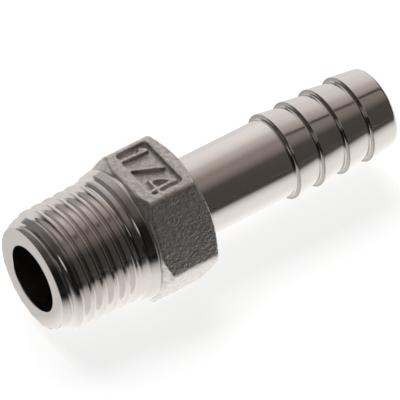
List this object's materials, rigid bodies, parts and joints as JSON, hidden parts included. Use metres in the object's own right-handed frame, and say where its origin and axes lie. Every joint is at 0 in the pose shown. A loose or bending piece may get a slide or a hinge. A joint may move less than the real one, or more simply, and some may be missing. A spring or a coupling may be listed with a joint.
{
  "type": "hose barb tail",
  "caption": "Straight hose tail: male taper pipe thread, spanner hexagon and barbed tail for a push-on hose, bored through.",
  "frame": {"origin": "on the bore axis, at the thread's end face", "axes": "+X along the bore from the thread end to the hose end, +Z out of the hexagon flat with the size panel, the part lying on the opposite flat"},
  "size_m": [0.0416, 0.0162, 0.0142],
  "materials": {
    "cast_stainless": "turned on the thread and tail, blasted casting on the hexagon"
  },
  "bodies": {
    "root": {"hose_barb_tail": "cast_stainless"}
  },
  "joints": []
}
